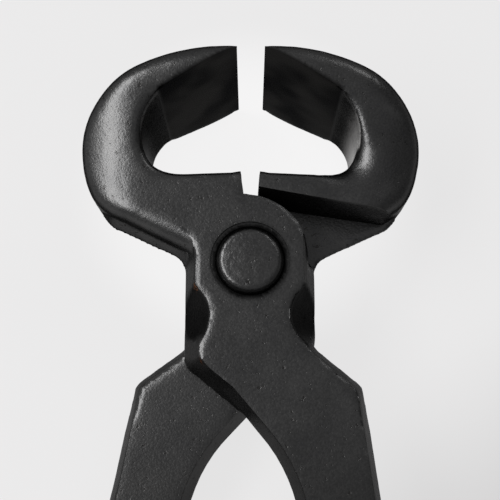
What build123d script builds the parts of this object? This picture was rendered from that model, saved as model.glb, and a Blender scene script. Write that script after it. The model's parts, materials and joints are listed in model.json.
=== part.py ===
# Hoof nipper: two arms from one forging, lapped face to face and held by one rivet.
# Units are mm. +Z runs along the pivot toward the front arm's face, +Y toward the blades.
# Shapes are drawn about the middle plane between the laps and raised at the end, so that
# the origin is the centre of the flat rivet head on the back.
# The front arm carries the jaw on the -X side and the handle on the +X side.
import os
from math import atan2, cos, degrees, radians, sin, tan

from build123d import *

# lap joint
lapThickness = 12.5  # face of one lap above the middle plane
lapClearance = 0.3  # air between the two flat laps
wallDraft = 16.0  # slope of the forged side walls, degrees
flankHalfWidth = 17.0  # at the lap plane
bossRadius = 15.6
bossCentre = (-0.9, 1.3)

# rivet
shankRadius = 6.0
runningClearance = 0.05
headBaseRadius = 8.8
headTopRadius = 7.3
headHeight = 2.6
headBreak = 0.4
dishRadius = 9.8  # shallow seat ground round the head
dishDepth = 0.4

# jaw
bladeEdge = (-3.3, 53.2)
bladeLand = 0.8  # flat along the cutting edge
bladeStock = 0.7  # metal over the edge before the outer face is ground
outerGrind = 175.5  # heading of that ground face
heel = (-22.5, 42.8)
heelBend = (-25.75, 38.9)
throat = (-27.45, 32.2)
mouthFloorY = 21.6
mouthFloorHeading = 358.0
innerEnd = (-2.4, 22.2)
innerEndFoot = (-0.9, 12.0)
jawRound = 4.6
lipRound = 1.8  # round the throat
crownStart = -27.6  # from here outward the jaw's face falls off
crownRadius = 28.0
crownTurn = 40.0

# outer line of the jaw: radius of each arc and the heading it ends on, anticlockwise from the blade
jawStartHeading = 177.0
jawArcs = ((57.0, 203.0), (26.7, 238.0), (18.7, 272.0), (27.8, 293.0), (12.5, 334.0))

# the jaw's face seen from the side: level over the lap, then arcs by radius and slope reached
flareStart = 16.0
flareArcs = ((45.0, 15.0), (198.0, 25.0))

# ledge that ends the full-depth jaw above the other arm's boss
ledgePoint = (-1.0, 17.3)  # at the lap plane
ledgeHeading = 188.2
ledgeDraft = 5.0

# foot of the neck, at the lap plane
neckStart = (-39.6, 16.2)
neckStartHeading = 293.0
neckPoint = (-28.3, 7.2)
neckHeading = 335.0
neckStartRound = 7.0
neckCorner = 5.0
neckTuck = 2.4  # how far the flat lap stays inside that foot
footHeight = 6.0
footDraft = 24.0
neckWallEnd = -13.8

# crossing wall, over the other arm's handle
crossingPoint = (-12.0, -28.9)
crossingHeading = 321.6
crossingCorner = 4.0
lapEnd = -1.5  # where the lap runs into the handle
lapHandleCorners = ((14.0, -32.0), (17.0, -18.0))  # inside the handle
lapJawCorners = ((8.0, 12.0), (-8.0, 14.0))  # inside the boss and the jaw
lapJawTop = 20.0  # where the lap ends in the jaw, as far out as the jaw's face is flat
flangeCorners = ((-17.0, -8.0), (-10.0, -8.0), (-10.0, 8.0), (-30.0, 18.0))

# handle root, widest at half its thickness
handleDraft = 20.0
innerStart = (-6.0, -31.0)
innerBend = (3.5, -41.5)
innerBendHeading = 313.5
innerRadius = 38.0
innerEndHeading = 285.0
shoulder = (28.5, -29.55)
shoulderHeading = 142.0
shoulderRound = 2.5
handleFlank = 15.6
handleFlankTop = -10.0
handleCorner = (4.0, -10.0)  # inside the lap
shoulderCorner = 6.0
outerHeading = 278.8
rootReach = 8.0

# the two handles are set by hand after forging, the rear one out and the front one in
handleShift = (0.9, 0.65)
handleLean = 1.5  # degrees about the shoulder
reinStandOff = 2.7  # most that a rein stands off

# hollows ground into the sides below the boss
scoopRadius = 9.0
scoopX = 9.6
scoopY = -13.2
scoopLean = 31.5

# the rein bows between the root and the straight grip: centre x, y, z, width and thickness
bowMiddle = (32.1, -102.0, 3.6, 16.0, 12.1)
gripStart = (38.6, -148.0, 0.0, 15.6, 12.0)
gripHeading = 273.5
gripLength = 153.0
reinFlat = 0.68  # share of the width that is flat
reinBulge = 0.3
reinSideLevel = 0.54  # where the side bulges most, as a share of half the thickness
reinEndBreak = 1.8

rearArmExtraOpening = 0.45  # degrees, how far the rear arm stands beyond its mirror pose

lapFloor = lapClearance / 2
middle = (lapThickness + lapFloor) / 2
headSeat = lapThickness - dishDepth + runningClearance
rise = headSeat + headHeight  # from the back head's face to the middle plane
far = 80
cornerRun = 3
overlap = 12  # how far a blank runs past the face it is cut back to
jawBase = -5


def towards(heading):
    return (cos(radians(heading)), sin(radians(heading)))


def ahead(point, heading, distance):
    dx, dy = towards(heading)
    return (point[0] + dx * distance, point[1] + dy * distance)


def turn(start, heading, radius, newHeading):
    """One arc leaving start along heading and ending along newHeading."""
    arc = JernArc(start, towards(heading), radius, newHeading - heading)
    end = arc @ 1
    return arc, (end.X, end.Y)


def meeting(p, headingP, q, headingQ):
    """Point where two straight lines, each given by a point and a heading, cross."""
    ax, ay = towards(headingP)
    bx, by = towards(headingQ)
    cross = ax * by - ay * bx
    along = ((q[0] - p[0]) * by - (q[1] - p[1]) * bx) / cross
    return (p[0] + ax * along, p[1] + ay * along)


def rounded(point, headingIn, headingOut, radius):
    """The arc that rounds a corner of an outline, with its two ends."""
    back = radius * tan(radians(abs(headingOut - headingIn)) / 2)
    start = ahead(point, headingIn, -back)
    arc, end = turn(start, headingIn, radius, headingOut)
    return arc, start, end


def outline(pieces):
    """Close a chain of arcs and points with straight lines and fill it."""
    ends = []
    for piece in pieces:
        if isinstance(piece, tuple):
            ends.append((piece, piece, None))
        else:
            a, b = piece @ 0, piece @ 1
            ends.append(((a.X, a.Y), (b.X, b.Y), piece))
    edges = []
    for number, (first, last, arc) in enumerate(ends):
        if arc is not None:
            edges.append(arc)
        following = ends[(number + 1) % len(ends)][0]
        if (Vector(*last) - Vector(*following)).length > 0.001:
            edges.append(Line(last, following))
    return make_face(Curve() + edges)


def slab(face, low, high):
    return Pos(0, 0, low) * extrude(face, high - low)


def blade_top():
    return (bladeEdge[0], bladeEdge[1] + bladeLand + bladeStock)


def jaw_arcs():
    point = blade_top()
    heading = jawStartHeading
    arcs = []
    for radius, newHeading in jawArcs:
        arc, point = turn(point, heading, radius, newHeading)
        arcs.append(arc)
        heading = newHeading
    return arcs, point, heading


def jaw_envelope():
    """Everything under the jaw's faces: level over the lap, flaring toward the blade, crowned outward."""
    crown, low = turn((crownStart, 0), 180, crownRadius, 180 + crownTurn)
    left, right = low[0] - overlap, overlap - jawBase
    section = outline([(right, 0), crown, (left, low[1]), (left, -far), (right, -far)])
    section = Plane(origin=(0, flareStart, lapThickness), x_dir=(1, 0, 0), z_dir=(0, -1, 0)) * section
    front = extrude(section, flareStart - jawBase)
    y, z, slope = flareStart, lapThickness, 0
    for radius, newSlope in flareArcs:
        centre = ahead((y, z), slope + 90, radius)
        front += revolve(section, Axis((0, *centre), (1, 0, 0)), newSlope - slope)
        about = Pos(0, *centre)
        section = about * Rot(newSlope - slope, 0, 0) * about.inverse() * section
        y, z = ahead(centre, newSlope - 90, radius)
        slope = newSlope
    return front & mirror(front, about=Plane.XY)


def jaw_blank():
    """The jaw before its mouth is opened, with the outer edges rounded."""
    arcs, neckEnd, heading = jaw_arcs()
    beyond = ahead(blade_top(), jawStartHeading, -overlap)
    bend = meeting(neckEnd, heading, (neckWallEnd, 0), 270)
    cove, coveStart, coveEnd = rounded(bend, heading, 270, neckCorner)
    hub = ahead(coveEnd, 270, cornerRun)
    shape = outline([beyond, *arcs, cove, hub, (0, 0), (beyond[0], 0)])
    solid = slab(shape, -far / 2, far / 2) & jaw_envelope()
    path = Wire([Line(beyond, arcs[0] @ 0), *arcs, Line(neckEnd, coveStart), cove, Line(coveEnd, hub)])
    return fillet(face_edges_over(solid, path), jawRound)


def face_edges_over(solid, path):
    """Edges of the two faces of a solid that lie over a path drawn in the middle plane."""
    edges = []
    for edge in solid.edges():
        mid = edge @ 0.5
        if abs(mid.Z) > 1 and path.distance_to(Vector(mid.X, mid.Y, 0)) < 0.01:
            edges.append(edge)
    return edges


def throat_arcs():
    bend = ThreePointArc(heel, heelBend, throat)
    curl, curlEnd = turn(throat, 270, throat[1] - mouthFloorY, mouthFloorHeading)
    return bend, curl, curlEnd


def mouth():
    """Everything on the open side of the blade, the throat and the inner end."""
    bend, curl, _ = throat_arcs()
    land = (bladeEdge[0], bladeEdge[1] + bladeLand)
    ground = ahead(land, outerGrind, far)
    outside = [(far, innerEndFoot[1]), (far, far), (ground[0], far)]
    shape = [bladeEdge, bend, curl, innerEnd, innerEndFoot, *outside, ground, land]
    return slab(outline(shape), -far, far)


def ledge_room():
    """Space below the ledge and behind the lap plane, where the other arm's boss turns."""
    sections = []
    for depth in (0, far):
        start = ahead(ledgePoint, ledgeHeading, -far)
        start = ahead(start, ledgeHeading - 90, depth * tan(radians(ledgeDraft)))
        end = ahead(start, ledgeHeading, 2 * far)
        sections.append(Pos(0, 0, lapFloor - depth) * outline([start, end, (end[0], -far), (start[0], -far)]))
    return loft(sections, ruled=True)


def drafted(face, low, high, draft):
    return Pos(0, 0, low) * extrude(face, high - low, taper=draft)


def boss():
    """Round end of the lap, its sides dressed to the same slope as the flanks."""
    rise = lapThickness - lapFloor
    inset = rise * tan(radians(wallDraft))
    disc = Pos(*bossCentre, lapFloor + rise / 2) * Cylinder(bossRadius, rise)
    w = flankHalfWidth
    ends = [(-w, lapFloor), (w, lapFloor), (w - inset, lapThickness), (inset - w, lapThickness)]
    return disc & extrude(Plane.XZ * make_face(Polyline(*ends, close=True)), far, both=True)


def neck_corner(tuck):
    """Point on the foot of the neck and the arc where it turns into the flank."""
    point = ahead(neckPoint, neckHeading + 90, tuck)
    inner = meeting(point, neckHeading, (-flankHalfWidth, 0), 270)
    cove, _, _ = rounded(inner, neckHeading, 270, neckCorner)
    return point, cove


def lap():
    """Flat half of the joint, ending in the wall over the other handle."""
    low = meeting((-flankHalfWidth, 0), 270, crossingPoint, crossingHeading)
    turnIn, _, _ = rounded(low, 270, crossingHeading, crossingCorner)
    end = meeting(crossingPoint, crossingHeading, (lapEnd, 0), 270)
    flank = (flankHalfWidth, 0)
    point, cove = neck_corner(neckTuck)
    start = meeting(point, neckHeading, (crownStart, 0), 90)
    shape = [start, cove, turnIn, end, *lapHandleCorners, flank, *lapJawCorners, (crownStart, lapJawTop)]
    point, cove = neck_corner(0)
    bend = meeting(neckStart, neckStartHeading, point, neckHeading)
    curve, _, _ = rounded(bend, neckStartHeading, neckHeading, neckStartRound)
    foot = drafted(outline([neckStart, curve, cove, *flangeCorners]), lapFloor, footHeight, footDraft)
    return drafted(outline(shape), lapFloor, lapThickness, wallDraft) + boss() + foot


def set_by_hand(sense):
    """Where one arm's handle stands from the average; sense is 1 outward and -1 inward."""
    about = Pos(*shoulder)
    shift = Pos(sense * handleShift[0], sense * handleShift[1])
    return shift * about * Rot(0, 0, sense * handleLean) * about.inverse()


def handle_root(sense):
    """Head of the handle, widest at half its thickness, cut square for the rein."""
    curve, innerLow = turn(innerBend, innerBendHeading, innerRadius, innerEndHeading)
    beyond = ahead(innerLow, innerEndHeading, rootReach)
    down = (innerEndHeading + outerHeading) / 2
    outerLow = meeting(beyond, down + 90, shoulder, outerHeading)
    tip, _, _ = rounded(shoulder, outerHeading - 180, shoulderHeading, shoulderRound)
    inside = meeting(shoulder, shoulderHeading, (handleFlank, 0), 90)
    cove, _, _ = rounded(inside, shoulderHeading, 90, shoulderCorner)
    flank = (handleFlank, handleFlankTop)
    shape = outline([innerStart, curve, beyond, outerLow, tip, cove, flank, handleCorner])
    front = drafted(shape, middle, lapThickness, handleDraft)
    back = mirror(front, about=Plane.XY.offset(middle))
    cut = Plane(origin=(innerLow[0], innerLow[1], 0), z_dir=(*towards(down), 0))
    place = set_by_hand(sense)
    return place * split(front + back, bisect_by=cut, keep=Keep.BOTTOM), place * cut


def rein_section(x, y, z, width, thickness, heading):
    """One cross-section of the rein: flat front and back, bulging sides."""
    flat = width * reinFlat / 2
    half = width / 2
    top = thickness / 2
    out = (half + flat) / 2 + reinBulge
    side = [
        Line((-flat, -top), (flat, -top)),
        ThreePointArc((flat, -top), (out, -top * reinSideLevel), (half, 0)),
        ThreePointArc((half, 0), (out, top * reinSideLevel), (flat, top)),
        Line((flat, top), (-flat, top)),
        ThreePointArc((-flat, top), (-out, top * reinSideLevel), (-half, 0)),
        ThreePointArc((-half, 0), (-out, -top * reinSideLevel), (-flat, -top)),
    ]
    dx, dy = towards(heading)
    place = Plane(origin=(x, y, z), x_dir=(-dy, dx, 0), z_dir=(dx, dy, 0))
    return place * make_face(Curve() + side)


def stand_off(y, sense):
    """How far a rein set by hand stands out at y."""
    lean = handleShift[0] + tan(radians(handleLean)) * (shoulder[1] - y)
    return sense * min(lean, reinStandOff)


def rein(root, cut, sense):
    """Rein from the cut face of the root: a bowed part and a straight grip with a bevelled end."""
    square = [face for face in root.faces() if face.normal_at().dot(cut.z_dir) > 0.999]
    start = max(square, key=lambda face: face.area)
    bow, grip = [(x + stand_off(y, sense), y, *rest) for x, y, *rest in (bowMiddle, gripStart)]
    run = Vector(grip[0], grip[1]) - Vector(start.center().X, start.center().Y)
    middle = rein_section(*bow, degrees(atan2(run.Y, run.X)))
    last = rein_section(*grip, gripHeading)
    bar = extrude(last, gripLength)
    end = bar.faces().sort_by(Axis.Y)[0]
    return loft([start, middle, last]) + chamfer(end.edges(), reinEndBreak)


def scoop(side):
    """Hollow ground into one side below the boss, dying out at the lap plane."""
    reach = scoopX + scoopRadius / cos(radians(scoopLean))
    tool = Rot(0, -side * scoopLean, 0) * Cylinder(scoopRadius, 2 * far)
    return Pos(side * reach, scoopY, lapThickness) * tool


def arm(sense):
    jaw = jaw_blank() - mouth() - ledge_room()
    bend, curl, curlEnd = throat_arcs()
    lip = Wire([bend, curl, Line(curlEnd, innerEnd)])
    jaw = fillet(face_edges_over(jaw, lip), lipRound)
    root, cut = handle_root(sense)
    body = jaw + lap() + root + rein(root, cut, sense)
    body = body - scoop(1) - scoop(-1)
    dish = Pos(0, 0, lapThickness) * Cylinder(dishRadius, 2 * dishDepth)
    bore = Cylinder(shankRadius + runningClearance, far)
    return body - dish - bore


def rivet():
    """Shank with a formed head at each end."""
    cone = Pos(0, 0, headSeat + headHeight / 2) * Cone(headBaseRadius, headTopRadius, headHeight)
    head = chamfer(cone.edges().sort_by(Axis.Z)[-1], headBreak)
    shank = Cylinder(shankRadius, 2 * headSeat + headHeight)
    return shank + head + mirror(head, about=Plane.XY)


if __name__ == "__main__":
    os.makedirs("parts", exist_ok=True)
    turnedOver = Rot(0, 0, -rearArmExtraOpening) * Rot(0, 180, 0)
    nodes = {"front_arm": arm(-1), "rear_arm": turnedOver * arm(1), "rivet": rivet()}
    for name, shape in nodes.items():
        export_step(Pos(0, 0, rise) * shape, f"parts/{name}.step")
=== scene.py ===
import json
import math

import bmesh
import bpy
import numpy
from mathutils import Matrix, Vector


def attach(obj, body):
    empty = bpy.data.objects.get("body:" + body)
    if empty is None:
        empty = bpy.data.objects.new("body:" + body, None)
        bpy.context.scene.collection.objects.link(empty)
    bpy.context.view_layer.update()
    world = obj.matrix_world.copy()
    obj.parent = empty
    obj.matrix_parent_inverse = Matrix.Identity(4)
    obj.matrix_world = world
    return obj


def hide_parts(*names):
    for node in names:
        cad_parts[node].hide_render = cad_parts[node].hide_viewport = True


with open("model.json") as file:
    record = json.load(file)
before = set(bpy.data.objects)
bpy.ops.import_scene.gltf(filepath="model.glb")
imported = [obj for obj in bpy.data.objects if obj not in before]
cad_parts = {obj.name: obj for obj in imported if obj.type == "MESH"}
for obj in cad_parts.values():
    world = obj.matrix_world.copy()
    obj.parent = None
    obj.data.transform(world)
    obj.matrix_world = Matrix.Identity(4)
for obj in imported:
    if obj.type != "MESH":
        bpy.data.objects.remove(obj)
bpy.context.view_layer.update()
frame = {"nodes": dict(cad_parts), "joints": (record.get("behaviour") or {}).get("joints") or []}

print("frame loaded:", ", ".join(sorted(frame["nodes"])))

mm = 0.001
pivotHeight = frame["joints"][0]["pos_m"][2]  # middle plane between the two laps


# node maths: a Link is one output socket, and arithmetic on it adds nodes
class Link:
    def __init__(self, recipe, socket):
        self.recipe = recipe
        self.socket = socket

    def maths(self, operation, *values):
        return self.recipe.add("ShaderNodeMath", {"operation": operation}, dict(enumerate(values)))

    def __add__(self, other):
        return self.maths("ADD", self, other)

    def __radd__(self, other):
        return self.maths("ADD", other, self)

    def __sub__(self, other):
        return self.maths("SUBTRACT", self, other)

    def __rsub__(self, other):
        return self.maths("SUBTRACT", other, self)

    def __mul__(self, other):
        return self.maths("MULTIPLY", self, other)

    def __rmul__(self, other):
        return self.maths("MULTIPLY", other, self)

    def __truediv__(self, other):
        return self.maths("DIVIDE", self, other)

    def __rtruediv__(self, other):
        return self.maths("DIVIDE", other, self)

    def __neg__(self):
        return self.maths("MULTIPLY", self, -1)

    def atMost(self, other):
        return self.maths("MINIMUM", self, other)

    def atLeast(self, other):
        return self.maths("MAXIMUM", self, other)

    def between(self, low, high):  # 0 below low, 1 above high, smooth between
        sockets = {"Value": self, "From Min": low, "From Max": high}
        return self.recipe.add("ShaderNodeMapRange", {"interpolation_type": "SMOOTHSTEP"}, sockets)


class Recipe:
    def __init__(self, tree):
        self.tree = tree

    # any node: its settings, its inputs by name or number, and which output to hand back
    def add(self, kind, settings=None, sockets=None, out=0):
        node = self.tree.nodes.new(kind)
        for setting, value in (settings or {}).items():
            setattr(node, setting, value)
        self.fill(node, sockets or {})
        return Link(self, node.outputs[out])

    def fill(self, node, sockets):
        for key, value in sockets.items():
            usable = [socket for socket in node.inputs if socket.enabled and socket.name == key]
            socket = usable[0] if usable else node.inputs[key]
            if isinstance(value, Link):
                self.tree.links.new(value.socket, socket)
            else:
                socket.default_value = value

    def noise(self, place, size, detail, roughness):
        values = {"Vector": place, "Scale": 1 / size, "Detail": detail, "Roughness": roughness}
        return self.add("ShaderNodeTexNoise", {}, values)

    def mix(self, share, low, high):
        return self.add("ShaderNodeMix", {"data_type": "RGBA"}, {0: share, 6: low, 7: high}, 2)

    def attribute(self, name):
        return self.add("ShaderNodeAttribute", {"attribute_name": name}, {}, "Fac")


def newMaterial(name):
    material = bpy.data.materials.new(name)
    material.use_nodes = True
    nodes = material.node_tree.nodes
    return material, Recipe(material.node_tree), nodes["Principled BSDF"], nodes["Material Output"]


steel = {
    "scale": (0.054, 0.054, 0.0545, 1),  # black forging scale
    "scaleThin": (0.078, 0.0775, 0.077, 1),
    "ground": (0.011, 0.011, 0.0113, 1),  # ground faces
    "groundThin": (0.023, 0.0225, 0.022, 1),
    "pit": (0.030, 0.029, 0.028, 1),
    "rust": (0.16, 0.075, 0.04, 1),
    "worn": (0.60, 0.59, 0.58, 1),  # painted sheen: a lighter throat wall standing in for a reflection
    "forgedEdgeOn": (0.20, 0.20, 0.20, 1),  # how much shine is left at a glancing angle
    "groundEdgeOn": (0.44, 0.44, 0.44, 1),
    "grime": (0.004, 0.004, 0.004, 1),  # painted shade: black round the rivet and in the scoops, where shade falls
    "grimeShare": 0.93,
    "handlesFrom": (30 * mm, 80 * mm),  # painted shade: the scale gets darker from here down, standing in for less light on the handles
    "handleShade": 0.6,
    "grainSize": 0.50 * mm,
    "pitSize": 1.5 * mm,
    "pitLimit": 0.36,  # noise under this is a pit
    "pitEdge": 0.05,
    "pitShade": 0.7,
    "blotchSize": 12 * mm,
    "streakSize": 20 * mm,
    "mottleRange": (0.32, 0.68),  # noise from here to there goes from one colour to the next
    "streakRange": (0.38, 0.62),
    "wornRange": (0.2, 0.6),
    "rustRange": (0.45, 0.55),
    "roughness": 0.34,
    "roughnessSpread": 0.2,
    "groundSmoother": 0.04,
    "grainHeight": 0.050 * mm,
    "pitShare": 0.8,  # as shares of the grain's height
    "pitDepth": 0.5,
    "groundFlatter": 0.9,
}


def steelColour(recipe, place, grain, pitted, marks, values):
    blotch = recipe.noise(place, values["blotchSize"], detail=3.0, roughness=0.55)
    streak = recipe.noise(place, values["streakSize"], detail=2.0, roughness=0.5)
    mottle = blotch * 0.5 + grain * 0.5
    down = -recipe.add("ShaderNodeSeparateXYZ", {}, {"Vector": place}, "Y")
    blade = recipe.mix(streak.between(*values["streakRange"]), values["ground"], values["groundThin"])
    colour = recipe.mix(mottle.between(*values["mottleRange"]), values["scale"], values["scaleThin"])
    # painted shade: the scale darkens from the handles' start down
    colour = recipe.mix(down.between(*values["handlesFrom"]) * values["handleShade"], colour, values["pit"])
    colour = recipe.mix(pitted * values["pitShade"], colour, values["pit"])
    colour = recipe.mix(marks["ground"], colour, blade)
    # painted sheen: the right throat wall is lightened in place of a reflection
    colour = recipe.mix(marks["worn"] * mottle.between(*values["wornRange"]), colour, values["worn"])
    # painted shade round the rivet, in its seat and in the scoops
    colour = recipe.mix(marks["hollow"] * values["grimeShare"], colour, values["grime"])
    return recipe.mix(marks["rusty"] * grain.between(*values["rustRange"]), colour, values["rust"])


# two steels in one material: they differ only in how they shine at a glancing angle
def forgedSteel(name, values):
    material, recipe, shader, output = newMaterial(name)
    place = recipe.add("ShaderNodeTexCoord", {}, {}, "Object")
    grain = recipe.noise(place, values["grainSize"], detail=3.0, roughness=0.6)
    grit = recipe.noise(place, values["grainSize"], detail=1.0, roughness=0.5)
    pits = recipe.noise(place, values["pitSize"], detail=3.0, roughness=0.6)
    marks = {each: recipe.attribute(each) for each in ("ground", "hollow", "rusty", "worn", "handled")}
    ground = marks["ground"]
    pitted = (values["pitLimit"] - pits).between(0.0, values["pitEdge"]) * (1 - ground)
    height = grit + pits * values["pitShare"] - pitted * values["pitDepth"]
    bump = {
        "Strength": 1.0,
        "Distance": values["grainHeight"],
        "Height": height * (1 - ground * values["groundFlatter"]),
    }
    rough = values["roughness"] + (grain - 0.5) * values["roughnessSpread"]
    surface = {
        "Base Color": steelColour(recipe, place, grain, pitted, marks, values),
        "Metallic": 1.0,
        "Roughness": rough - ground * values["groundSmoother"],
        "Normal": recipe.add("ShaderNodeBump", {}, bump),
    }
    recipe.fill(shader, {**surface, "Specular Tint": values["forgedEdgeOn"]})
    forged = Link(recipe, shader.outputs[0])
    bright = {**surface, "Specular Tint": values["groundEdgeOn"]}
    rubbedAndSheen = recipe.add("ShaderNodeBsdfPrincipled", {}, bright)
    # the painted sheen on the throat also takes the shinier steel
    share = ground.atLeast(marks["worn"]).atLeast(marks["handled"])
    both = recipe.add("ShaderNodeMixShader", {}, {0: share, 1: forged, 2: rubbedAndSheen})
    recipe.fill(output, {"Surface": both})
    return material


armSteel = forgedSteel("armSteel", steel)
rivetSteel = forgedSteel("rivetSteel", {**steel, "grainHeight": 0.06 * mm, "pitSize": 2.2 * mm})
print("materials made")

arm = {
    "mergeWithin": 0.01 * mm,
    "gridDepth": 9,  # the grid has 2 to this power cells along the arm
    "gridFill": 0.95,
    "rounds": 6,  # rounds of blur on forged edges
    "scaleDepth": 0.06 * mm,
    "scaleSize": 7 * mm,
    "seed": 3,
    "creaseAngle": 42,
    "turnedBy": 0.45,  # degrees that the rear arm stands beyond a mirror image
    # the ground face of the blade, drawn on the front arm: cutting edge, heel and throat
    "bladeEdge": (-3.3 * mm, 53.2 * mm),
    "heel": (-22.5 * mm, 42.8 * mm),
    "throat": (-27.45 * mm, 32.2 * mm),
    "groundFade": (0.35 * mm, 0.9 * mm),
    # edges that stay crisp: how crisp, and over what distance that fades out
    "innerEnd": (-2.4 * mm, 22.2 * mm),  # corner of the jaw at the mouth's floor
    "ledgeEdge": ((-2 * mm, 18.8 * mm), (-35 * mm, 12.6 * mm)),
    "crossingEdges": (
        ((-11.0 * mm, -25.0 * mm), (0 * mm, -35.5 * mm)),
        ((0 * mm, -35.5 * mm), (13 * mm, -56 * mm)),
    ),
    "heelStop": 0.12,  # share of the blade at the heel that isn't crisp
    "bladeCrisp": (0.65, 1.0 * mm, 4.0 * mm),
    "ledgeCrisp": (0.75, 0.8 * mm, 2.0 * mm),
    "crossingCrisp": (0.85, 1.2 * mm, 3.0 * mm),
    "dishCrisp": (1.0, 0.9 * mm, 1.8 * mm),
    "cornerReach": {"bladeEdge": 1.2 * mm, "innerEnd": 2.6 * mm},
    "cornerFull": 0.4,  # share of that reach that is fully crisp
    "handleCrisp": 0.8,
    "handlesBelow": (32 * mm, 42 * mm),
    # seat ground round the rivet head
    "dishRadius": 9.8 * mm,
    "dishFloor": 11.4 * mm,  # above the middle plane
    # painted shade: how far round the seat's edge the black reaches
    "dishGrime": (-0.5 * mm, 0.3 * mm),
    # scoops in the lap's sides, leaning cylinders as in the CAD
    "scoopAt": (20.16 * mm, -13.2 * mm, 12.5 * mm),
    "scoopRadius": 9 * mm,
    "scoopLean": 31.5,
    "scoopFade": (0.35 * mm, 0.9 * mm),
    "scoopSteep": (0.75, 0.92),  # how level a face may lie, 1 being level
    # painted shade in the scoops
    "scoopGrime": 0.75,
    # the front lap's lower left corner, drawn in a little
    "scoopEnd": (-15 * mm, -21.5 * mm),
    "scoopShift": 1.3 * mm,
    "shiftFade": (1 * mm, 8 * mm),
    "shiftHeight": (2 * mm, 12 * mm),
    # painted sheen in the throat, and marks of use
    "wallLimit": 0.5,  # a wall is steeper than this, 0 being upright
    "wallFade": (0.42, 0.62),
    "throatWear": (30 * mm, 41 * mm),
    "wearFade": (1.6 * mm, 3.2 * mm),
    "flankShine": 0.5,  # of the side walls by the pivot, where a handle's wall has 1
    "flankFrom": (-6 * mm, 2 * mm),
    "handleShine": (26 * mm, 36 * mm),
    "rustSpots": ((-13.4 * mm, -6.4 * mm, 26 * mm), (-12 * mm, -24.9 * mm, 26 * mm)),
    "rustFade": (0.5 * mm, 1.3 * mm),
    # floor of the mouth, lifted to the photo's line
    "mouthFloor": 21.6 * mm,
    "mouthHalf": 27 * mm,
    "mouthSide": 9 * mm,
    "floorRise": 1.1 * mm,
    "riseBelow": (7 * mm, 0.2 * mm),
    "riseAbove": (0.5 * mm, 5 * mm),
    # ridge and hollow that only the right jaw has
    "facingUp": (0.2, 0.6),
    "ridgeFrom": (22.0 * mm, 44.6 * mm),
    "ridgeTo": (34.5 * mm, 39.0 * mm),
    "ridgeDrop": 0.8 * mm,
    "ridgeNear": (-0.3 * mm, 1.0 * mm),
    "ridgeFar": (4 * mm, 14 * mm),
    "ridgeStart": (-3 * mm, 3 * mm),
    "ridgeEnd": (0.6, 2.0),  # as shares of its length
    "throatDish": (24.2 * mm, 26.8 * mm),
    "dishDrop": 3.2 * mm,
    "dishSize": (9.0 * mm, 9.0 * mm),
    "dishAbove": 8 * mm,
}


# places where they would be on the front arm
def handed(node, place, values):
    if node != "rear_arm":
        return place
    back = Matrix.Rotation(math.radians(values["turnedBy"]), 3, "Z")
    turned = numpy.array(Matrix.Rotation(math.pi, 3, "Y") @ back)
    return (place - (0, 0, pivotHeight)) @ turned.T + (0, 0, pivotHeight)


def evaluated(piece):
    mesh = bpy.data.meshes.new_from_object(piece.evaluated_get(bpy.context.evaluated_depsgraph_get()))
    piece.modifiers.clear()
    piece.data = mesh
    return mesh


def griddedCopy(node, values):
    mesh = frame["nodes"][node].data.copy()
    shape = bmesh.new()
    shape.from_mesh(mesh)
    bmesh.ops.remove_doubles(shape, verts=shape.verts, dist=values["mergeWithin"])
    shape.to_mesh(mesh)
    shape.free()
    mesh.materials.clear()
    piece = bpy.data.objects.new(node + "Skin", mesh)
    bpy.context.scene.collection.objects.link(piece)
    grid = piece.modifiers.new("grid", "REMESH")
    grid.mode = "SHARP"
    grid.octree_depth = values["gridDepth"]
    grid.scale = values["gridFill"]
    evaluated(piece)
    return piece


def vectors(mesh, name):  # "co" for places, "normal" for normals
    flat = numpy.empty(len(mesh.vertices) * 3, dtype=numpy.float32)
    mesh.vertices.foreach_get(name, flat)
    return flat.reshape(-1, 3).astype(numpy.float64)


def moveTo(mesh, place):
    mesh.vertices.foreach_set("co", place.astype(numpy.float32).ravel())
    mesh.update()


def paint(mesh, name, values):
    attribute = mesh.attributes.new(name, "FLOAT", "POINT")
    attribute.data.foreach_set("value", numpy.asarray(values, dtype=numpy.float32))


def step(x, low, high):  # 0 below low, 1 above high, smooth between
    share = numpy.clip((x - low) / (high - low), 0, 1)
    return share * share * (3 - 2 * share)


def near(x, full, gone):  # 1 below full, 0 above gone
    return 1 - step(x, full, gone)


def offSegment(place, a, b):
    a, b = numpy.array(a), numpy.array(b)
    along = numpy.clip(((place - a) @ (b - a)) / ((b - a) @ (b - a)), 0, 1)
    return numpy.linalg.norm(place - a - along[:, None] * (b - a), axis=1)


def liftMouthFloor(place, values):
    below, above = values["riseBelow"], values["riseAbove"]
    floor, half = values["mouthFloor"], values["mouthHalf"]
    rise = step(place[:, 1], floor - below[0], floor - below[1])
    rise *= near(place[:, 1], floor + above[0], floor + above[1])
    rise *= near(abs(place[:, 0]), half - values["mouthSide"], half)
    place[:, 1] += values["floorRise"] * rise


def drawCornerIn(place, values):
    gap = numpy.linalg.norm(place[:, :2] - numpy.array(values["scoopEnd"]), axis=1)
    low, high = values["shiftHeight"]
    height = step(place[:, 2], pivotHeight + low, pivotHeight + high)
    place[:, 0] += values["scoopShift"] * height * near(gap, *values["shiftFade"])


def hollowThroat(place, values):
    (x, y), (across, down) = values["throatDish"], values["dishSize"]
    far = numpy.hypot((place[:, 0] - x) / across, (place[:, 1] - y) / down)
    above = place[:, 2] > pivotHeight + values["dishAbove"]
    place[:, 2] -= values["dishDrop"] * near(far, 0, 1) * above


def raiseRidge(place, faceUp, values):
    a, b = numpy.array(values["ridgeFrom"]), numpy.array(values["ridgeTo"])
    length = numpy.linalg.norm(b - a)
    way = (b - a) / length
    along = (place[:, :2] - a) @ way
    aside = (place[:, :2] - a) @ numpy.array((way[1], -way[0]))
    drop = step(aside, *values["ridgeNear"]) * near(aside, *values["ridgeFar"])
    drop *= step(along, *values["ridgeStart"])
    drop *= near(along, *[share * length for share in values["ridgeEnd"]])
    place[:, 2] -= values["ridgeDrop"] * drop * faceUp


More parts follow.
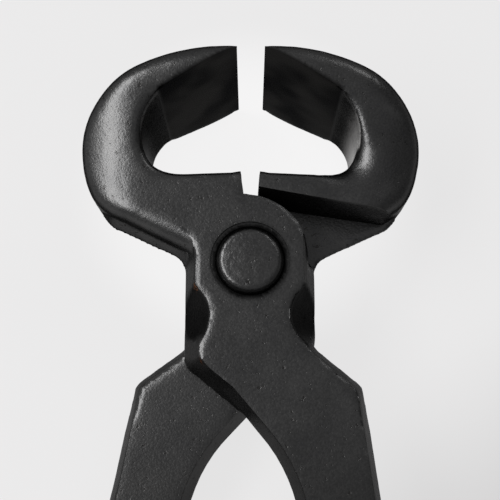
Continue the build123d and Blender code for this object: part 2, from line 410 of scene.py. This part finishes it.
def sculpt(node, mesh, values):
    place = vectors(mesh, "co")
    upward = vectors(mesh, "normal")[:, 2]
    liftMouthFloor(place, values)
    if node == "front_arm":
        drawCornerIn(place, values)
    if node == "rear_arm":
        faceUp = step(upward, *values["facingUp"]) * (place[:, 2] > pivotHeight)
        hollowThroat(place, values)
        raiseRidge(place, faceUp, values)
    moveTo(mesh, place)


def crispShare(flat, onDish, radius, values):
    def crispBy(distance, name):
        share, full, gone = values[name]
        return share * near(distance, full, gone)

    edge, heel = numpy.array(values["bladeEdge"]), numpy.array(values["heel"])
    shortHeel = heel + (edge - heel) * values["heelStop"]
    shares = [crispBy(offSegment(flat, edge, shortHeel), "bladeCrisp")]
    for corner, reach in values["cornerReach"].items():
        gap = numpy.linalg.norm(flat - numpy.array(values[corner]), axis=1)
        shares.append(near(gap, values["cornerFull"] * reach, reach))
    shares.append(onDish * crispBy(abs(radius - values["dishRadius"]), "dishCrisp"))
    shares.append(crispBy(offSegment(flat, *values["ledgeEdge"]), "ledgeCrisp"))
    shares += [crispBy(offSegment(flat, *edgeOf), "crossingCrisp") for edgeOf in values["crossingEdges"]]
    shares.append(values["handleCrisp"] * step(-flat[:, 1], *values["handlesBelow"]))
    return numpy.max(shares, axis=0)


# painted shade in the rivet's seat and in the scoops
def hollowShare(place, steep, onDish, radius, values):
    low, high = values["dishGrime"]
    hollow = near(radius, values["dishRadius"] + low, values["dishRadius"] + high) * onDish
    lean = math.radians(values["scoopLean"])
    x, y, z = values["scoopAt"]
    for side in (-1, 1):
        fromAxis = place - (side * x, y, pivotHeight + z)
        axis = numpy.array((-side * math.sin(lean), 0, math.cos(lean)))
        far = numpy.linalg.norm(fromAxis - (fromAxis @ axis)[:, None] * axis, axis=1)
        scoop = near(abs(far - values["scoopRadius"]), *values["scoopFade"])
        scoop *= near(steep, *values["scoopSteep"])
        hollow = numpy.maximum(hollow, values["scoopGrime"] * scoop)
    return hollow


def mark(node, mesh, values):
    place = handed(node, vectors(mesh, "co"), values)
    steep = abs(vectors(mesh, "normal")[:, 2])  # 0 on an upright wall, 1 on a level face
    flat, down = place[:, :2], -place[:, 1]
    radius = numpy.hypot(flat[:, 0], flat[:, 1])
    onDish = place[:, 2] > pivotHeight + values["dishFloor"]
    onBlade = near(offSegment(flat, values["bladeEdge"], values["heel"]), *values["groundFade"])
    paint(mesh, "crisp", crispShare(flat, onDish, radius, values))
    paint(mesh, "ground", onBlade)
    paint(mesh, "hollow", hollowShare(place, steep, onDish, radius, values))
    # painted sheen on the right jaw's throat wall, lighter in colour and shinier at a glancing angle
    sheenStart, sheenEnd = values["throatWear"]
    worn = near(offSegment(flat, values["heel"], values["throat"]), *values["wearFade"])
    worn *= near(flat[:, 1], sheenStart, sheenEnd) * (node == "rear_arm") * (steep < values["wallLimit"])
    paint(mesh, "worn", worn * (1 - onBlade))
    flank = values["flankShine"] * step(down, *values["flankFrom"])
    handle = (1 - values["flankShine"]) * step(down, *values["handleShine"])
    paint(mesh, "handled", near(steep, *values["wallFade"]) * (flank + handle))
    gaps = [numpy.linalg.norm(place - spot, axis=1) for spot in values["rustSpots"]]
    paint(mesh, "rusty", near(numpy.min(gaps, axis=0), *values["rustFade"]))


lumpRange = (0.35, 0.7)  # noise from here to there is pressed in, up to the scale's depth


# sinks every vertex toward the blurred surface and by a little noise, never outward
def skinTree():
    tree = bpy.data.node_groups.new("forgedSkin", "GeometryNodeTree")
    kinds = {"Geometry": "Geometry", "Rounds": "Int", "Scale Depth": "Float", "Scale Size": "Float"}
    for name, kind in {**kinds, "Seed": "Float", "Steel": "Material"}.items():
        tree.interface.new_socket(name, in_out="INPUT", socket_type="NodeSocket" + kind)
    tree.interface.new_socket("Geometry", in_out="OUTPUT", socket_type="NodeSocketGeometry")
    recipe = Recipe(tree)
    start = tree.nodes.new("NodeGroupInput")
    given = {socket.name: Link(recipe, socket) for socket in start.outputs}
    place = recipe.add("GeometryNodeInputPosition")
    normal = recipe.add("GeometryNodeInputNormal")
    crisp = recipe.add("GeometryNodeInputNamedAttribute", {"data_type": "FLOAT"}, {"Name": "crisp"})
    smooth = {"Value": place, "Iterations": given["Rounds"]}
    blur = recipe.add("GeometryNodeBlurAttribute", {"data_type": "FLOAT_VECTOR"}, smooth).socket.node
    blurred = Link(recipe, [socket for socket in blur.outputs if socket.enabled][0])
    move = recipe.add("ShaderNodeVectorMath", {"operation": "SUBTRACT"}, {0: blurred, 1: place})
    sink = recipe.add("ShaderNodeVectorMath", {"operation": "DOT_PRODUCT"}, {0: move, 1: normal}, "Value")
    noise = {"Vector": place, "W": given["Seed"], "Scale": 1 / given["Scale Size"], "Detail": 2.0}
    lumps = recipe.add("ShaderNodeTexNoise", {"noise_dimensions": "4D"}, noise)
    depth = (sink.atMost(0) - lumps.between(*lumpRange) * given["Scale Depth"]) * (1 - crisp)
    offset = recipe.add("ShaderNodeVectorMath", {"operation": "SCALE"}, {0: normal, "Scale": depth})
    shaped = recipe.add("GeometryNodeSetPosition", {}, {"Geometry": given["Geometry"], "Offset": offset})
    whole = recipe.add("GeometryNodeRealizeInstances", {}, {"Geometry": shaped})
    painted = recipe.add("GeometryNodeSetMaterial", {}, {"Geometry": whole, "Material": given["Steel"]})
    end = tree.nodes.new("NodeGroupOutput")
    tree.links.new(painted.socket, end.inputs["Geometry"])
    return tree


def grown(piece, tree, material, values):
    sockets = [socket for socket in tree.interface.items_tree if socket.in_out == "INPUT"]
    inputs = {socket.name: socket.identifier for socket in sockets}
    modifier = piece.modifiers.new("skin", "NODES")
    modifier.node_group = tree
    modifier[inputs["Rounds"]] = values["rounds"]
    modifier[inputs["Scale Depth"]] = values["scaleDepth"]
    modifier[inputs["Scale Size"]] = values["scaleSize"]
    modifier[inputs["Seed"]] = float(values["seed"])
    modifier[inputs["Steel"]] = material
    mesh = evaluated(piece)
    mesh.shade_smooth()
    mesh.set_sharp_from_angle(angle=math.radians(values["creaseAngle"]))
    return mesh


skin = skinTree()
for node, body in (("front_arm", "front"), ("rear_arm", "rear")):
    piece = griddedCopy(node, arm)
    sculpt(node, piece.data, arm)
    mark(node, piece.data, arm)
    mesh = grown(piece, skin, armSteel, arm)
    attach(piece, body)
    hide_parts(node)
    print(node, "skin made,", len(mesh.polygons), "faces")

rivet = {
    "mergeWithin": 0.01 * mm,
    "gridDepth": 7,
    "gridFill": 0.95,
    "rounds": 2,
    "scaleDepth": 0.06 * mm,
    "scaleSize": 1.7 * mm,
    "seed": 8,
    "creaseAngle": 42,
    "headTop": 7.3 * mm,  # radius of the head's flat top
    "domeDrop": 0.45 * mm,
    "domeHeight": (1.6 * mm, 0.4 * mm),  # below the top: where the dome starts and is full
    # painted shade on the rivet head's cone
    "coneGrime": 0.9,
    "grimeFrom": (0.1 * mm, 0.5 * mm),  # outside that radius
}


def dome(mesh, values):
    place = vectors(mesh, "co")
    radius = numpy.hypot(place[:, 0], place[:, 1])
    end = place[:, 2] - pivotHeight
    low, high = [pivotHeight - below for below in values["domeHeight"]]
    drop = values["domeDrop"] * step(abs(end), low, high) * (radius / values["headTop"]) ** 2
    place[:, 2] -= numpy.sign(end) * drop
    moveTo(mesh, place)
    # painted shade on the cone outside the flat top
    low, high = [values["headTop"] + beyond for beyond in values["grimeFrom"]]
    paint(mesh, "hollow", values["coneGrime"] * step(radius, low, high))


piece = griddedCopy("rivet", rivet)
dome(piece.data, rivet)
mesh = grown(piece, skin, rivetSteel, rivet)
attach(piece, "rear")
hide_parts("rivet")
print("rivet skin made,", len(mesh.polygons), "faces")

floorValues = {
    "colour": (0.80, 0.795, 0.795, 1),
    "bladeRest": (54.5 * mm, -6.5 * mm),  # y and z where the blades touch
    "reinRest": (-300 * mm, 8.8 * mm),
    "bend": 70 * mm,  # behind the reins the floor is level
    "reach": 3.0,
    "litShare": 0.07,  # how much of what is seen is the lit floor with its shadow
    "seen": (0.82, 0.815, 0.817, 1),
    # painted light: the floor is brighter round the mouth
    "seenInMouth": (0.94, 0.935, 0.937, 1),
    "seenFarRight": (0.61, 0.605, 0.607, 1),
    "mouthMiddle": 30 * mm,
    "mouthGlow": (0.0002, 0.0030),  # square metres: distance from there, squared
    # painted shade: the floor darkens towards the far right corner
    "fallOffTurn": 0.8,
    "fallOff": (55 * mm, 140 * mm),
}


def paleFloor(values):
    material, recipe, shader, output = newMaterial("paleFloor")
    recipe.fill(shader, {"Base Color": values["colour"], "Roughness": 0.9})
    kinds = ("Is Camera Ray", "Is Glossy Ray", "Is Transmission Ray")
    camera, glossy, through = [recipe.add("ShaderNodeLightPath", {}, {}, kind) for kind in kinds]
    seen = camera.atLeast(glossy).atLeast(through) * (1 - values["litShare"])
    place = recipe.add("ShaderNodeTexCoord", {}, {}, "Object")
    x, y = [recipe.add("ShaderNodeSeparateXYZ", {}, {"Vector": place}, axis) for axis in "XY"]
    fromMouth = x * x + (y - values["mouthMiddle"]) * (y - values["mouthMiddle"])
    # painted light round the mouth
    colour = recipe.mix(fromMouth.between(*values["mouthGlow"]), values["seenInMouth"], values["seen"])
    # painted shade towards the far right corner
    toCorner = x * values["fallOffTurn"] - y
    colour = recipe.mix(toCorner.between(*values["fallOff"]), colour, values["seenFarRight"])
    glow = recipe.add("ShaderNodeEmission", {}, {"Color": colour})
    lit = Link(recipe, shader.outputs[0])
    recipe.fill(output, {"Surface": recipe.add("ShaderNodeMixShader", {}, {0: seen, 1: lit, 2: glow})})
    return material


def makeFloor(values):
    (yBlade, zBlade), (yRein, zRein) = values["bladeRest"], values["reinRest"]
    slope = (zRein - zBlade) / (yRein - yBlade)
    reach = values["reach"]
    bend = yRein - values["bend"]
    zBend = zBlade + slope * (bend - yBlade)
    profile = [(-reach, zBend), (bend, zBend), (reach, zBlade + slope * (reach - yBlade))]
    corners = [(x, y, z) for y, z in profile for x in (-reach, reach)]
    mesh = bpy.data.meshes.new("floor")
    mesh.from_pydata(corners, [], [(0, 1, 3, 2), (2, 3, 5, 4)])
    mesh.materials.append(paleFloor(values))
    floor = bpy.data.objects.new("floor", mesh)
    bpy.context.scene.collection.objects.link(floor)


makeFloor(floorValues)

light = {
    "horizon": (0.70, 0.70, 0.702, 1),
    "ceiling": (0.40, 0.40, 0.404, 1),
    "darkSide": (0.17, 0.17, 0.172, 1),  # to the right of the tool
    "ceilingFrom": (0.0, 0.09),
    "darkFrom": (0.35, 0.85),
    "lamps": {
        "key": {"at": (-0.58, 0.06, 0.69), "size": (0.95, 0.30), "power": 9.0},
        "rim": {"at": (0.50, 0.62, 0.55), "size": (0.35, 0.05), "power": 0.8},
    },
}


def makeWorld(values):
    world = bpy.data.worlds.new("studio")
    bpy.context.scene.world = world
    world.use_nodes = True
    recipe = Recipe(world.node_tree)
    way = recipe.add("ShaderNodeTexCoord", {}, {}, "Generated")
    right, up = [recipe.add("ShaderNodeSeparateXYZ", {}, {"Vector": way}, axis) for axis in "XZ"]
    colour = recipe.mix(up.between(*values["ceilingFrom"]), values["horizon"], values["ceiling"])
    colour = recipe.mix(right.between(*values["darkFrom"]), colour, values["darkSide"])
    recipe.fill(world.node_tree.nodes["Background"], {"Color": colour})


# size runs first along Y, then up the slope
def softBox(name, at, size, power):
    lamp = bpy.data.lights.new(name, "AREA")
    lamp.shape = "RECTANGLE"
    lamp.size, lamp.size_y = size
    lamp.energy = power
    box = bpy.data.objects.new(name, lamp)
    bpy.context.scene.collection.objects.link(box)
    box.location = at
    box.rotation_euler = (-Vector(at)).to_track_quat("-Z", "Y").to_euler()
    box.visible_camera = False


makeWorld(light)
for name, lamp in light["lamps"].items():
    softBox(name + "Light", **lamp)
print("floor and light set")

view = {
    "at": (0, -45.2 * mm, pivotHeight + 213 * mm),
    "pitch": 13.4,
    "focalPixels": 840,
    "framePixels": 500,
    "sensor": 36,
    "nearest": 10 * mm,
}
camera = bpy.data.objects.new("camera", bpy.data.cameras.new("camera"))
bpy.context.scene.collection.objects.link(camera)
camera.location = view["at"]
camera.rotation_euler = (math.radians(view["pitch"]), 0, 0)
camera.data.sensor_width = view["sensor"]
camera.data.lens = view["sensor"] * view["focalPixels"] / view["framePixels"]
camera.data.clip_start = view["nearest"]
bpy.context.scene.camera = camera
bpy.context.scene.view_settings.view_transform = "Standard"
print("camera set")
